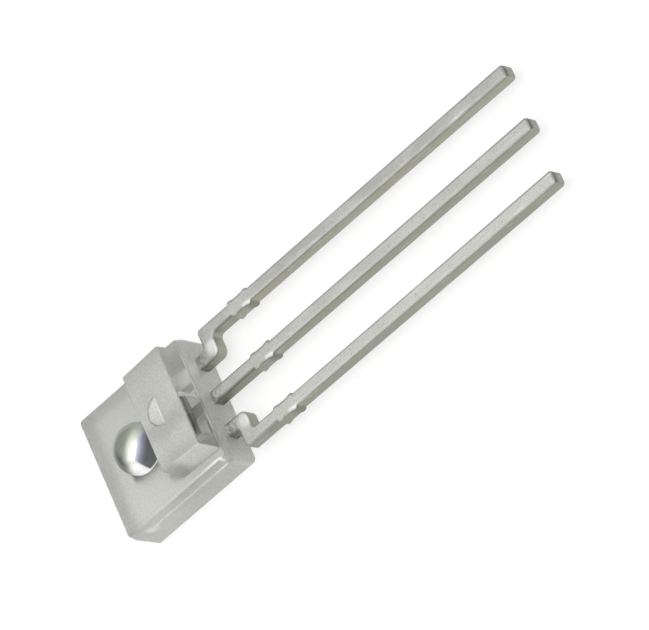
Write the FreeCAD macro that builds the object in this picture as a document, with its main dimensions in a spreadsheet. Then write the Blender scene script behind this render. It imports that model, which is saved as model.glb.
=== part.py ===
import FreeCAD, Part
import math
import os
import Sketcher

# Light-to-voltage sensor in a clear moulded package with three leads, lying on its back.
# X runs across the leads, Y runs along them away from the package, Z out of the lens face.
# The origin is the centre of the flat back face. All sizes are in millimetres.

SIZES = {
    # flat plate of the package, measured at the parting line
    "package_width": 4.57,
    "package_length": 4.75,
    "package_depth": 1.40,
    "parting_depth": 0.35,
    "draft_inset": 0.07,
    "back_inset": 0.03,
    "corner_radius": 0.12,
    # round lens on the front face, placed from the free edge of that face
    "lens_radius": 0.86,
    "lens_inset": 1.735,
    # raised block between the lens and the leads, measured at its top face;
    # its margin is counted from the side edges of the front face
    "block_rise": 1.00,
    "block_margin": 0.405,
    "block_flare": 0.06,
    "block_length": 1.70,
    "block_ledge": 0.065,
    "block_draft": 0.04,
    "block_round": 0.08,
    # half-round mark that the ejector pin leaves on the block
    "mark_radius": 0.53,
    "mark_depth": 0.05,
    # leads, stamped from one strip, measured from the end and the back of the package
    "lead_width": 0.44,
    "lead_thickness": 0.50,
    "lead_height": 0.42,
    "lead_pitch": 2.00,
    "root_pitch": 1.27,
    "lead_reach": 14.68,
    "lead_round": 0.05,
    "jog_distance": 0.42,
    "jog_width": 0.52,
    "jog_round": 0.24,
    "stub_distance": 2.325,
    "stub_length": 0.90,
    "stub_rise": 0.08,
    # parts of the leads inside the package: the pad and a finger on each side of it
    "pad_width": 1.46,
    "pad_length": 1.75,
    "finger_gap": 0.20,
    "finger_overlap": 0.45,
    "finger_length": 1.70,
    # chip and its adhesive
    "chip_width": 1.35,
    "chip_length": 1.50,
    "chip_thickness": 0.20,
    "adhesive_thickness": 0.03,
    "adhesive_margin": 0.04,
    # bond wires from the chip to the leads
    "wire_diameter": 0.03,
    "wire_offset": 0.60,
    "wire_inset": 0.12,
    "wire_landing": 0.20,
    "wire_rise": 0.09,
    "wire_bend": 0.06,
}

# places that several pieces share, written as expressions of the sizes
PACKAGE_END = "Sizes.package_length / 2"
FRONT_WIDTH = "(Sizes.package_width / 2 - Sizes.draft_inset)"
FRONT_END = "(Sizes.package_length / 2 - Sizes.draft_inset)"
BACK_WIDTH = "(Sizes.package_width / 2 - Sizes.back_inset)"
BACK_END = "(Sizes.package_length / 2 - Sizes.back_inset)"
LENS_CENTRE = "(Sizes.draft_inset + Sizes.lens_inset - Sizes.package_length / 2)"
LEAD_TOP = "(Sizes.lead_height + Sizes.lead_thickness)"
CHIP_TOP = f"({LEAD_TOP} + Sizes.adhesive_thickness + Sizes.chip_thickness)"
# the same places measured along the leads from the end of the package
PAD_CENTRE = f"({LENS_CENTRE} - Sizes.package_length / 2)"
PAD_END = f"({PAD_CENTRE} + Sizes.pad_length / 2)"
FINGER_END = f"({PAD_END} - Sizes.finger_overlap)"
FINGER_START = f"({FINGER_END} + Sizes.finger_length)"
# inner edge of a finger, measured from the middle of the package
FINGER_INNER = "(Sizes.pad_width / 2 + Sizes.finger_gap)"

doc = FreeCAD.newDocument("light_sensor")


def make_sheet():
    """Spreadsheet with one named cell for each driving size."""
    sheet = doc.addObject("Spreadsheet::Sheet", "Sizes")
    for row, (name, value) in enumerate(SIZES.items(), start=1):
        sheet.set(f"A{row}", name)
        sheet.set(f"B{row}", str(value))
        sheet.setAlias(f"B{row}", name)
    doc.recompute()
    return sheet


sizes = make_sheet()


def value_of(expression):
    """Number that an expression of the sheet's cells has now."""
    found = sizes.evalExpression(expression)
    return float(getattr(found, "Value", found))


def make_body(name, along=None, height=None):
    """Body whose frame lies at a place along the leads and at a height."""
    body = doc.addObject("PartDesign::Body", name)
    body.Label = name
    if along:
        body.setExpression(".Placement.Base.y", along)
    if height:
        body.setExpression(".Placement.Base.z", height)
    return body


def make_sketch(body, name, role, distance=None):
    """Sketch on one of the body's own planes, or parallel to it at a distance."""
    plane = next(item for item in body.Origin.OriginFeatures if item.Role == role)
    sketch = body.newObject("Sketcher::SketchObject", name)
    sketch.AttachmentSupport = [(plane, "")]
    sketch.MapMode = "FlatFace"
    if distance:
        sketch.setExpression(".AttachmentOffset.Base.z", distance)
    return sketch


def pin_point(sketch, element, position, across, along):
    """Hold one point of a sketch at two expressions from the sketch's origin."""
    for kind, expression in (("DistanceX", across), ("DistanceY", along)):
        start = value_of(expression)
        index = sketch.addConstraint(Sketcher.Constraint(kind, -1, 1, element, position, start))
        sketch.setExpression(f"Constraints[{index}]", expression)


def draw_outline(sketch, corners, closed=True):
    """Straight lines through corners given as pairs of expressions, closed unless told otherwise."""
    points = [FreeCAD.Vector(value_of(across), value_of(along), 0) for across, along in corners]
    ends = points[1:] + points[:1] if closed else points[1:]
    for start, end in zip(points, ends):
        sketch.addGeometry(Part.LineSegment(start, end), False)
    lines = len(ends)
    for index in range(0 if closed else 1, lines):
        sketch.addConstraint(Sketcher.Constraint("Coincident", (index - 1) % lines, 2, index, 1))
    for index, (across, along) in enumerate(corners):
        if index < lines:
            pin_point(sketch, index, 1, across, along)
        else:
            pin_point(sketch, lines - 1, 2, across, along)


def draw_rounded_rectangle(sketch, half_width, half_length, radius):
    """Rectangle about the sketch's origin with four equal round corners."""
    quarter = math.pi / 2
    reach = value_of(radius)
    signs = [(1, 1), (-1, 1), (-1, -1), (1, -1)]
    for turn, (right, up) in enumerate(signs):
        across = f"{right} * ({half_width} - {radius})"
        along = f"{up} * ({half_length} - {radius})"
        centre = FreeCAD.Vector(value_of(across), value_of(along), 0)
        circle = Part.Circle(centre, FreeCAD.Vector(0, 0, 1), reach)
        arc = Part.ArcOfCircle(circle, turn * quarter, (turn + 1) * quarter)
        index = sketch.addGeometry(arc, False)
        pin_point(sketch, index, 3, across, along)
        ends = ("Horizontal", "Vertical") if turn % 2 == 0 else ("Vertical", "Horizontal")
        sketch.addConstraint(Sketcher.Constraint(ends[0], index, 1, index, 3))
        sketch.addConstraint(Sketcher.Constraint(ends[1], index, 2, index, 3))
        bow = sketch.addConstraint(Sketcher.Constraint("Radius", index, reach))
        sketch.setExpression(f"Constraints[{bow}]", radius)
    for turn in range(4):
        after = (turn + 1) % 4
        start = sketch.Geometry[turn].EndPoint
        end = sketch.Geometry[after].StartPoint
        line = sketch.addGeometry(Part.LineSegment(start, end), False)
        sketch.addConstraint(Sketcher.Constraint("Coincident", turn, 2, line, 1))
        sketch.addConstraint(Sketcher.Constraint("Coincident", line, 2, after, 1))


def add_pad(body, sketch, name, length):
    """Pad of a sketch whose height is an expression."""
    pad = body.newObject("PartDesign::Pad", name)
    pad.Profile = sketch
    pad.setExpression("Length", length)
    body.Tip = pad
    doc.recompute()
    return pad


def add_loft(body, sketches, name):
    """Straight-sided loft through sketches at rising heights."""
    loft = body.newObject("PartDesign::AdditiveLoft", name)
    loft.Profile = sketches[0]
    loft.Sections = sketches[1:]
    loft.Ruled = True
    body.Tip = loft
    doc.recompute()
    return loft


def add_fillet(body, base, name, radius, wanted):
    """Fillet on the edges of a feature that a test picks by their end points."""
    edges = []
    for index, edge in enumerate(base.Shape.Edges, start=1):
        ends = [vertex.Point for vertex in edge.Vertexes]
        if len(ends) == 2 and wanted(*ends):
            edges.append(f"Edge{index}")
    fillet = body.newObject("PartDesign::Fillet", name)
    fillet.Base = (base, edges)
    fillet.setExpression("Radius", radius)
    body.Tip = fillet
    doc.recompute()
    return fillet


def near(first, second):
    """Whether two numbers are equal to within a tenth of a micrometre."""
    return abs(first - second) < 1e-4


# Package: drafted plate, block, lens and ejector mark


def make_plate(body):
    """Plate drafted both ways from its parting line."""
    levels = [
        ("0", BACK_WIDTH, BACK_END),
        ("Sizes.package_depth - Sizes.parting_depth", "Sizes.package_width / 2", PACKAGE_END),
        ("Sizes.package_depth", FRONT_WIDTH, FRONT_END),
    ]
    sketches = []
    for number, (height, half_width, half_length) in enumerate(levels, start=1):
        sketch = make_sketch(body, f"plate_section_{number}", "XY_Plane", height)
        draw_rounded_rectangle(sketch, half_width, half_length, "Sizes.corner_radius")
        sketches.append(sketch)
    doc.recompute()
    return add_loft(body, sketches, "plate")


def block_section(body, name, height, spread):
    """Flared four-sided section of the block, widened by a spread on each side."""
    narrow = f"({FRONT_WIDTH} - Sizes.block_margin + {spread})"
    wide = f"({narrow} + Sizes.block_flare)"
    lead_side = f"({FRONT_END} - Sizes.block_ledge)"
    lens_side = f"({lead_side} - Sizes.block_length - {spread})"
    sketch = make_sketch(body, name, "XY_Plane", height)
    corners = [
        (f"-1 * {narrow}", lens_side),
        (narrow, lens_side),
        (wide, lead_side),
        (f"-1 * {wide}", lead_side),
    ]
    draw_outline(sketch, corners)
    return sketch


def make_block(body):
    """Raised block whose walls draw in towards its top."""
    top = "Sizes.package_depth + Sizes.block_rise"
    foot = block_section(body, "block_foot", "Sizes.package_depth", "Sizes.block_draft")
    crown = block_section(body, "block_crown", top, "0")
    doc.recompute()
    block = add_loft(body, [foot, crown], "block")
    front = value_of("Sizes.package_depth")
    crown_height = value_of(top)

    def on_block(start, end):
        rises = near(start.z, front) and near(end.z, crown_height)
        falls = near(end.z, front) and near(start.z, crown_height)
        return rises or falls or (near(start.z, crown_height) and near(end.z, crown_height))

    return add_fillet(body, block, "block_edges", "Sizes.block_round", on_block)


def make_lens(body):
    """Dome turned about an upright axis through the lens centre."""
    sketch = make_sketch(body, "lens_profile", "XZ_Plane", f"-1 * {LENS_CENTRE}")
    radius = value_of("Sizes.lens_radius")
    front = value_of("Sizes.package_depth")
    foot = front - value_of("Sizes.parting_depth")
    circle = Part.Circle(FreeCAD.Vector(0, front, 0), FreeCAD.Vector(0, 0, 1), radius)
    sketch.addGeometry(Part.ArcOfCircle(circle, 0, math.pi / 2), False)
    corners = [
        FreeCAD.Vector(0, front + radius, 0),
        FreeCAD.Vector(0, foot, 0),
        FreeCAD.Vector(radius, foot, 0),
        FreeCAD.Vector(radius, front, 0),
    ]
    for start, end in zip(corners, corners[1:]):
        sketch.addGeometry(Part.LineSegment(start, end), False)
    for first, second in ((0, 1), (1, 2), (2, 3)):
        sketch.addConstraint(Sketcher.Constraint("Coincident", first, 2, second, 1))
    sketch.addConstraint(Sketcher.Constraint("Coincident", 3, 2, 0, 1))
    pin_point(sketch, 0, 3, "0", "Sizes.package_depth")
    pin_point(sketch, 0, 1, "Sizes.lens_radius", "Sizes.package_depth")
    pin_point(sketch, 2, 1, "0", "Sizes.package_depth - Sizes.parting_depth")
    sketch.addConstraint(Sketcher.Constraint("Vertical", 1))
    sketch.addConstraint(Sketcher.Constraint("Horizontal", 2))
    sketch.addConstraint(Sketcher.Constraint("Vertical", 3))
    dome = body.newObject("PartDesign::Revolution", "lens")
    dome.Profile = sketch
    dome.ReferenceAxis = (sketch, ["V_Axis"])
    dome.Angle = 360
    body.Tip = dome
    doc.recompute()
    return dome


def make_mark(body):
    """Half-round recess whose floor slopes up to the middle of the block's top."""
    middle = f"({FRONT_END} - Sizes.block_ledge - Sizes.block_length / 2)"
    sketch = make_sketch(body, "mark_outline", "XY_Plane", "Sizes.package_depth + Sizes.block_rise")
    sketch.setExpression(".AttachmentOffset.Base.y", middle)
    sketch.AttachmentOffset = FreeCAD.Placement(
        sketch.AttachmentOffset.Base, FreeCAD.Rotation(FreeCAD.Vector(1, 0, 0), 1)
    )
    sketch.setExpression(".AttachmentOffset.Rotation.Angle", "atan(Sizes.mark_depth / Sizes.mark_radius)")
    radius = value_of("Sizes.mark_radius")
    circle = Part.Circle(FreeCAD.Vector(0, 0, 0), FreeCAD.Vector(0, 0, 1), radius)
    right = FreeCAD.Vector(radius, 0, 0)
    left = FreeCAD.Vector(-radius, 0, 0)
    sketch.addGeometry(Part.ArcOfCircle(circle, math.pi, 2 * math.pi), False)
    sketch.addGeometry(Part.LineSegment(right, left), False)
    sketch.addConstraint(Sketcher.Constraint("Coincident", 0, 3, -1, 1))
    sketch.addConstraint(Sketcher.Constraint("Coincident", 0, 2, 1, 1))
    sketch.addConstraint(Sketcher.Constraint("Coincident", 1, 2, 0, 1))
    sketch.addConstraint(Sketcher.Constraint("Horizontal", 1))
    bow = sketch.addConstraint(Sketcher.Constraint("Radius", 0, radius))
    sketch.setExpression(f"Constraints[{bow}]", "Sizes.mark_radius")
    doc.recompute()
    before = body.Tip.Shape.Volume
    mark = body.newObject("PartDesign::Pocket", "ejector_mark")
    mark.Profile = sketch
    mark.Reversed = True
    mark.setExpression("Length", "2 * Sizes.mark_depth")
    body.Tip = mark
    doc.recompute()
    if mark.Shape.Volume >= before:
        raise RuntimeError("the ejector mark cuts nothing")
    return mark


def make_package(inner_pieces):
    """Clear package, moulded round the pieces inside it."""
    body = make_body("package_form")
    make_plate(body)
    make_block(body)
    make_lens(body)
    make_mark(body)
    inside = doc.addObject("Part::MultiFuse", "moulded_in")
    inside.Shapes = inner_pieces
    package = doc.addObject("Part::Cut", "clear_package")
    package.Label = "clear_package"
    package.Base = body
    package.Tool = inside
    doc.recompute()
    return package


# Leads: flat strips stamped from one sheet


def finish_lead(body, outline, centre):
    """Lead padded from its outline, with soft edges and cut tie-bar stubs."""
    strip = add_pad(body, outline, f"{body.Label}_strip", "Sizes.lead_thickness")
    near_side = value_of("Sizes.jog_distance")
    far_side = value_of("Sizes.jog_distance + Sizes.jog_width")

    def jog_corner(start, end):
        upright = near(start.x, end.x) and near(start.y, end.y)
        return upright and (near(start.y, near_side) or near(start.y, far_side))

    if any(near(vertex.Y, near_side) for vertex in strip.Shape.Vertexes):
        strip = add_fillet(body, strip, f"{body.Label}_jog", "Sizes.jog_round", jog_corner)
    thickness = value_of("Sizes.lead_thickness")

    def rim(start, end):
        return near(start.z, end.z) and (near(start.z, 0) or near(start.z, thickness))

    add_fillet(body, strip, f"{body.Label}_edges", "Sizes.lead_round", rim)
    sketch = make_sketch(body, f"{body.Label}_stub_outline", "XY_Plane")
    reach = "(Sizes.lead_width / 2 + Sizes.stub_rise)"
    low = "Sizes.stub_distance - Sizes.stub_length / 2"
    high = "Sizes.stub_distance + Sizes.stub_length / 2"
    corners = [
        (f"{centre} - {reach}", low),
        (f"{centre} + {reach}", low),
        (f"{centre} + {reach}", high),
        (f"{centre} - {reach}", high),
    ]
    draw_outline(sketch, corners)
    add_pad(body, sketch, f"{body.Label}_stub", "Sizes.lead_thickness")
    return body


def make_outer_lead(name, side):
    """Lead that steps outward just beyond the package, on the side given as -1 or 1."""
    body = make_body(name, PACKAGE_END, "Sizes.lead_height")
    root_inner = f"{side} * (Sizes.root_pitch - Sizes.lead_width / 2)"
    root_outer = f"{side} * (Sizes.root_pitch + Sizes.lead_width / 2)"
    lead_inner = f"{side} * (Sizes.lead_pitch - Sizes.lead_width / 2)"
    lead_outer = f"{side} * (Sizes.lead_pitch + Sizes.lead_width / 2)"
    finger_inner = f"{side} * {FINGER_INNER}"
    near_side = "Sizes.jog_distance"
    far_side = "Sizes.jog_distance + Sizes.jog_width"
    corners = [
        (finger_inner, FINGER_END),
        (root_outer, FINGER_END),
        (root_outer, near_side),
        (lead_outer, near_side),
        (lead_outer, "Sizes.lead_reach"),
        (lead_inner, "Sizes.lead_reach"),
        (lead_inner, far_side),
        (root_inner, far_side),
        (root_inner, FINGER_START),
        (finger_inner, FINGER_START),
    ]
    sketch = make_sketch(body, f"{name}_outline", "XY_Plane")
    draw_outline(sketch, corners)
    return finish_lead(body, sketch, f"{side} * Sizes.lead_pitch")


def make_centre_lead():
    """Straight lead that widens into the pad under the lens."""
    name = "lead_centre"
    body = make_body(name, PACKAGE_END, "Sizes.lead_height")
    pad_start = f"{PAD_CENTRE} - Sizes.pad_length / 2"
    corners = [
        ("-0.5 * Sizes.pad_width", pad_start),
        ("0.5 * Sizes.pad_width", pad_start),
        ("0.5 * Sizes.pad_width", PAD_END),
        ("0.5 * Sizes.lead_width", PAD_END),
        ("0.5 * Sizes.lead_width", "Sizes.lead_reach"),
        ("-0.5 * Sizes.lead_width", "Sizes.lead_reach"),
        ("-0.5 * Sizes.lead_width", PAD_END),
        ("-0.5 * Sizes.pad_width", PAD_END),
    ]
    sketch = make_sketch(body, f"{name}_outline", "XY_Plane")
    draw_outline(sketch, corners)
    return finish_lead(body, sketch, "0")


# Chip, adhesive and bond wires


def make_slab(name, half_width, half_length, underside, thickness):
    """Flat rectangular piece centred under the lens."""
    body = make_body(name, LENS_CENTRE, underside)
    sketch = make_sketch(body, f"{name}_outline", "XY_Plane")
    corners = [
        (f"-1 * ({half_width})", f"-1 * ({half_length})"),
        (half_width, f"-1 * ({half_length})"),
        (half_width, half_length),
        (f"-1 * ({half_width})", half_length),
    ]
    draw_outline(sketch, corners)
    add_pad(body, sketch, f"{name}_slab", thickness)
    return body


def make_wire(name, across, along, turn, span):
    """Wire that rises from the chip, runs level for a span and bends down to a lead."""
    body = make_body(name, along, CHIP_TOP)
    body.setExpression(".Placement.Base.x", across)
    body.setExpression(".Placement.Rotation.Angle", turn)
    route = make_sketch(body, f"{name}_route", "YZ_Plane")
    corners = [
        ("0", "0"),
        ("0", "Sizes.wire_rise - Sizes.wire_bend"),
        ("Sizes.wire_bend", "Sizes.wire_rise"),
        (f"{span} - 2 * Sizes.wire_bend", "Sizes.wire_rise"),
        (span, "Sizes.wire_rise - 2 * Sizes.wire_bend"),
        (span, f"{LEAD_TOP} - {CHIP_TOP}"),
    ]
    draw_outline(route, corners, closed=False)
    round_section = make_sketch(body, f"{name}_section", "XY_Plane")
    radius = value_of("Sizes.wire_diameter / 2")
    circle = Part.Circle(FreeCAD.Vector(0, 0, 0), FreeCAD.Vector(0, 0, 1), radius)
    round_section.addGeometry(circle, False)
    round_section.addConstraint(Sketcher.Constraint("Coincident", 0, 3, -1, 1))
    bow = round_section.addConstraint(Sketcher.Constraint("Radius", 0, radius))
    round_section.setExpression(f"Constraints[{bow}]", "Sizes.wire_diameter / 2")
    doc.recompute()
    pipe = body.newObject("PartDesign::AdditivePipe", f"{name}_pipe")
    pipe.Profile = round_section
    pipe.Spine = (route, [])
    pipe.Transition = "Right corner"
    body.Tip = pipe
    doc.recompute()
    return body


leads = [make_outer_lead("lead_left", -1), make_centre_lead(), make_outer_lead("lead_right", 1)]
adhesive = make_slab(
    "chip_adhesive",
    "Sizes.chip_width / 2 + Sizes.adhesive_margin",
    "Sizes.chip_length / 2 + Sizes.adhesive_margin",
    LEAD_TOP,
    "Sizes.adhesive_thickness",
)
chip = make_slab(
    "sensor_chip",
    "Sizes.chip_width / 2",
    "Sizes.chip_length / 2",
    f"{LEAD_TOP} + Sizes.adhesive_thickness",
    "Sizes.chip_thickness",
)
chip_side = "(Sizes.chip_width / 2 - Sizes.wire_inset)"
chip_end = f"({LENS_CENTRE} + Sizes.chip_length / 2 - Sizes.wire_inset)"
sideways = f"({FINGER_INNER} + Sizes.wire_landing - {chip_side})"
onward = f"({PAD_END} + {PACKAGE_END} + Sizes.wire_landing - {chip_end})"
beside = f"({LENS_CENTRE} + Sizes.wire_offset)"
wires = [
    make_wire("bond_wire_left", f"-1 * {chip_side}", beside, "90", sideways),
    make_wire("bond_wire_centre", "0", chip_end, "0", onward),
    make_wire("bond_wire_right", chip_side, beside, "-90", sideways),
]
inner_pieces = leads + [adhesive, chip] + wires
package = make_package(inner_pieces)
doc.recompute()

for item in doc.Objects:
    if any(word in item.State for word in ("Invalid", "Error")):
        raise RuntimeError(f"{item.Label} did not build: {item.State}")

os.makedirs("parts", exist_ok=True)
for piece in [package] + inner_pieces:
    if piece.Shape.isNull() or not piece.Shape.isValid():
        raise RuntimeError(f"{piece.Label} has no valid shape")
    piece.Shape.exportStep(f"parts/{piece.Label}.step")
    print(piece.Label, len(piece.Shape.Solids), round(piece.Shape.Volume, 4))
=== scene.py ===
import math
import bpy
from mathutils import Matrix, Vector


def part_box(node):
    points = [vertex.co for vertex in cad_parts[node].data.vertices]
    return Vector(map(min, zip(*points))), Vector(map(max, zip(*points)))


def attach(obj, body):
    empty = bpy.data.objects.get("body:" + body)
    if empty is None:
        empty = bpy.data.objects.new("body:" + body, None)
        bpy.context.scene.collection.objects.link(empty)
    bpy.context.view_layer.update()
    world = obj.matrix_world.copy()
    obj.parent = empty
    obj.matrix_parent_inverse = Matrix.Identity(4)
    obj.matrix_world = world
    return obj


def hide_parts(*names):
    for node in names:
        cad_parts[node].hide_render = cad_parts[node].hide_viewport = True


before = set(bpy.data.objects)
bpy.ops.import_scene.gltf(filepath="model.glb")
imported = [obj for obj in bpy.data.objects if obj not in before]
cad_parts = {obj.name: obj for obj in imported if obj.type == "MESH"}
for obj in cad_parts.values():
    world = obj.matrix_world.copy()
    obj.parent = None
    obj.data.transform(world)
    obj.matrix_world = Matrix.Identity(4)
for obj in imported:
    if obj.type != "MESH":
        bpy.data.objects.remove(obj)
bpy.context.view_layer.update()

from types import SimpleNamespace

import bmesh
import bpy
from mathutils import Matrix, Vector

# Sizes in metres, in the frame of the model: X across the leads, Y along them, Z out of the lens face.
MM = 0.001

_, package_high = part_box("clear_package")
HALF_WIDTH = package_high.x
HALF_LENGTH = package_high.y
BLOCK_TOP = package_high.z
BLOCK_RISE = 1.00 * MM
FRONT = BLOCK_TOP - BLOCK_RISE
PARTING = FRONT - 0.35 * MM
INSET = 0.07 * MM
FRONT_HALF_WIDTH = HALF_WIDTH - INSET
FRONT_HALF_LENGTH = HALF_LENGTH - INSET
BACK_INSET = 0.03 * MM
CORNER_RADIUS = 0.12 * MM
BACK_EDGE_RADIUS = 0.04 * MM
FRONT_EDGE_RADIUS = 0.04 * MM
PARTING_RADIUS = 0.012 * MM
SUPPORT = 0.006 * MM
SMALLEST_RADIUS = 0.001 * MM
STRAIGHT_WITHIN = 1e-4
# Profiles start and end with a run this long, whose outer point is left off.
RUN_IN = 0.3 * MM

LENS_RADIUS = 0.86 * MM
LENS_Y = -FRONT_HALF_LENGTH + 1.735 * MM
LENS_FOOT_RADIUS = 0.02 * MM

BLOCK_HALF_WIDTH = 1.81 * MM
BLOCK_FLARE = 0.06 * MM
BLOCK_LENGTH = 1.70 * MM
BLOCK_LEDGE = 0.065 * MM
BLOCK_DRAFT = 0.04 * MM
BLOCK_CORNER_RADIUS = 0.08 * MM
BLOCK_EDGE_RADIUS = 0.08 * MM
BLOCK_FOOT_RADIUS = 0.015 * MM

MARK_Y = FRONT_HALF_LENGTH - BLOCK_LEDGE - BLOCK_LENGTH / 2
MARK_RADIUS = 0.53 * MM
MARK_DEPTH = 0.05 * MM
MARK_RAMP = 0.10 * MM
# How far each step of the mark's wall lies inward and down, in millimetres.
MARK_WALL = [
    (0, 0), (0.006, 0), (0.012, 0.004), (0.016, 0.012), (0.018, 0.030), (0.024, 0.046), (0.034, 0.050),
]

lead_low, lead_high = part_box("lead_right")
LEAD_BOTTOM = lead_low.z
LEAD_TOP = lead_high.z
LEAD_TIP = lead_high.y
LEAD_WIDTH = 0.44 * MM
LEAD_PITCH = 2.00 * MM
ROOT_PITCH = 1.27 * MM
FINGER_INNER = lead_low.x
FINGER_END = lead_low.y
FINGER_LENGTH = 1.70 * MM
FINGER_TAPER = 0.15 * MM
JOG_NEAR = HALF_LENGTH + 0.42 * MM
JOG_FAR = JOG_NEAR + 0.52 * MM
STUB_MIDDLE = HALF_LENGTH + 2.325 * MM
STUB_LENGTH = 0.90 * MM
STUB_RISE = 0.08 * MM
STUB_TAPER = 0.07 * MM
STUB_WAIST = 0.035 * MM
# The waist starts this many tapers in from each end of the stub and is full as many further in.
WAIST_TAPERS = 2
LEAD_TOP_RADIUS = 0.09 * MM
LEAD_BOTTOM_RADIUS = 0.05 * MM
JOG_HOLLOW_RADIUS = 0.16 * MM
JOG_OUTER_RADIUS = 0.15 * MM
JOG_INNER_RADIUS = 0.27 * MM
TIP_RADIUS = 0.12 * MM
PAD_LENGTH = 1.75 * MM
COAT_START = 5.2 * MM
COAT_GROWTH = 0.03 * MM

chip_low, chip_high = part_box("sensor_chip")
CHIP_TOP = chip_high.z
SENSING_Y = LENS_Y + 0.02 * MM
SENSING_RADIUS = 0.385 * MM
WIRE_RADIUS = 0.0125 * MM
BALL_RADIUS = 0.04 * MM
BALL_HEIGHT = 0.022 * MM
# Each ring of the ball, as a share of its height and of its radius.
BALL_RINGS = [(0.0, 0.80), (0.15, 0.96), (0.5, 1.0), (0.85, 0.90), (1.0, 0.65), (1.15, 0.36)]
# The wire's curve is pulled past its peak where it rises and where it falls, before it lands.
RISE_PULL = 0.04 * MM
FALL_PULL = 0.03 * MM
FALL_SHARE = 0.85
LANDING_SHARE = 0.95
LANDING_HEIGHT = WIRE_RADIUS * 0.8
WEDGE_HEIGHT = WIRE_RADIUS * 0.5
WEDGE_RADIUS = WIRE_RADIUS * 0.9
CHIP_EDGE = 0.006 * MM
# The bead of adhesive reaches past the chip, climbs its sides and spreads at its foot.
BEAD_REACH = 0.012 * MM
BEAD_CLIMB = 0.03 * MM
BEAD_SPREAD = 0.028 * MM
BEAD_EDGE = 0.01 * MM

FLOOR_HALF = 400 * MM
FLOOR_DROP = 0.002 * MM
FLOOR_TONE = (0.85, 0.85, 0.85, 1)
# Where the camera sees the floor, also in gloss or through the body, it is greyer and glows up to white.
FLOOR_SEEN_TONE = (0.45, 0.45, 0.45, 1)
FLOOR_SEEN_GLOW = 0.60
HORIZON_LEVEL = 0.45
ZENITH_LEVEL = 0.75
ZENITH_START = 0.8
LAMP_DIRECTION = (0.18, 0.19, 0.96)
LAMP_DISTANCE = 60 * MM
LAMP_SIZE = (60 * MM, 90 * MM)
LAMP_POWER = 0.02

# The camera's place, fitted to points of the photograph.
AIM = Vector((0.2885, 7.3116, 0.70)) * MM
CAMERA_AZIMUTH = math.radians(136.85)
CAMERA_ELEVATION = math.radians(47.77)
CAMERA_ROLL = math.radians(-79.25)
CAMERA_DISTANCE = 280.97 * MM
LENS_MILLIMETRES = 505.8
CLIP_NEAR = 10 * MM
CLIP_FAR = 2000 * MM


# Outlines


def rounded(points, closed, steps, support):
    """Outline through (x, y, radius) points, each turned by an arc with a support point at both ends."""
    count = len(points)
    result = []
    for index, (x, y, radius) in enumerate(points):
        here = Vector((x, y))
        if not closed and index in (0, count - 1):
            result.append(here)
            continue
        before = Vector(points[index - 1][:2]) - here
        after = Vector(points[(index + 1) % count][:2]) - here
        before.normalize()
        after.normalize()
        angle = before.angle(after)
        if radius <= 0 or angle > math.pi - STRAIGHT_WITHIN:
            result.append(here)
            continue
        reach = radius / math.tan(angle / 2)
        middle = (before + after).normalized() * (radius / math.sin(angle / 2))
        start = here + before * reach
        end = here + after * reach
        centre = here + middle
        result.append(start + before * support)
        sweep = math.pi - angle
        turn = 1 if before.x * after.y - before.y * after.x < 0 else -1
        first = start - centre
        for step in range(steps + 1):
            result.append(centre + Matrix.Rotation(turn * sweep * step / steps, 2) @ first)
        result.append(end + after * support)
    return result


def grown(corners, distance):
    """Closed outline of (x, y, radius) corners moved outward by a distance, run anticlockwise."""
    count = len(corners)
    result = []
    for index, (x, y, radius) in enumerate(corners):
        here = Vector((x, y))
        before = (here - Vector(corners[index - 1][:2])).normalized()
        after = (Vector(corners[(index + 1) % count][:2]) - here).normalized()
        first = Vector((before.y, -before.x))
        second = Vector((after.y, -after.x))
        moved = here + (first + second) * (distance / (1 + first.dot(second)))
        convex = before.x * after.y - before.y * after.x > 0
        new_radius = radius + distance if convex else radius - distance
        result.append((moved.x, moved.y, max(new_radius, SMALLEST_RADIUS) if radius > 0 else 0))
    return result


def blend_corners(first, second, share):
    """Corners between two outlines of equal count."""
    return [tuple(a + (b - a) * share for a, b in zip(one, two)) for one, two in zip(first, second)]


def add_ring(mesh, outline, height):
    """Vertices of an outline at a height."""
    return [mesh.verts.new((point[0], point[1], height)) for point in outline]


def join_rings(mesh, rings):
    """Quads between rings that follow each other."""
    for lower, upper in zip(rings, rings[1:]):
        count = len(lower)
        for index in range(count):
            after = (index + 1) % count
            mesh.faces.new((lower[index], lower[after], upper[after], upper[index]))


def fill_between(mesh, loops):
    """Flat triangles that fill an outer loop round inner loops."""
    edges = []
    for loop in loops:
        for first, second in zip(loop, loop[1:] + loop[:1]):
            edges.append(mesh.edges.get((first, second)) or mesh.edges.new((first, second)))
    bmesh.ops.triangle_fill(mesh, use_beauty=True, use_dissolve=False, edges=edges, normal=(0, 0, 1))


def finished(mesh, name):
    """Object from a bmesh, smooth shaded, with its normals outward."""
    bmesh.ops.recalc_face_normals(mesh, faces=mesh.faces)
    data = bpy.data.meshes.new(name)
    mesh.to_mesh(data)
    mesh.free()
    for polygon in data.polygons:
        polygon.use_smooth = True
    piece = bpy.data.objects.new(name, data)
    bpy.context.scene.collection.objects.link(piece)
    return piece


# The clear package


def plate_corners():
    """Corners of the front face."""
    return [
        (FRONT_HALF_WIDTH, -FRONT_HALF_LENGTH, CORNER_RADIUS),
        (FRONT_HALF_WIDTH, FRONT_HALF_LENGTH, CORNER_RADIUS),
        (-FRONT_HALF_WIDTH, FRONT_HALF_LENGTH, CORNER_RADIUS),
        (-FRONT_HALF_WIDTH, -FRONT_HALF_LENGTH, CORNER_RADIUS),
    ]


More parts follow.
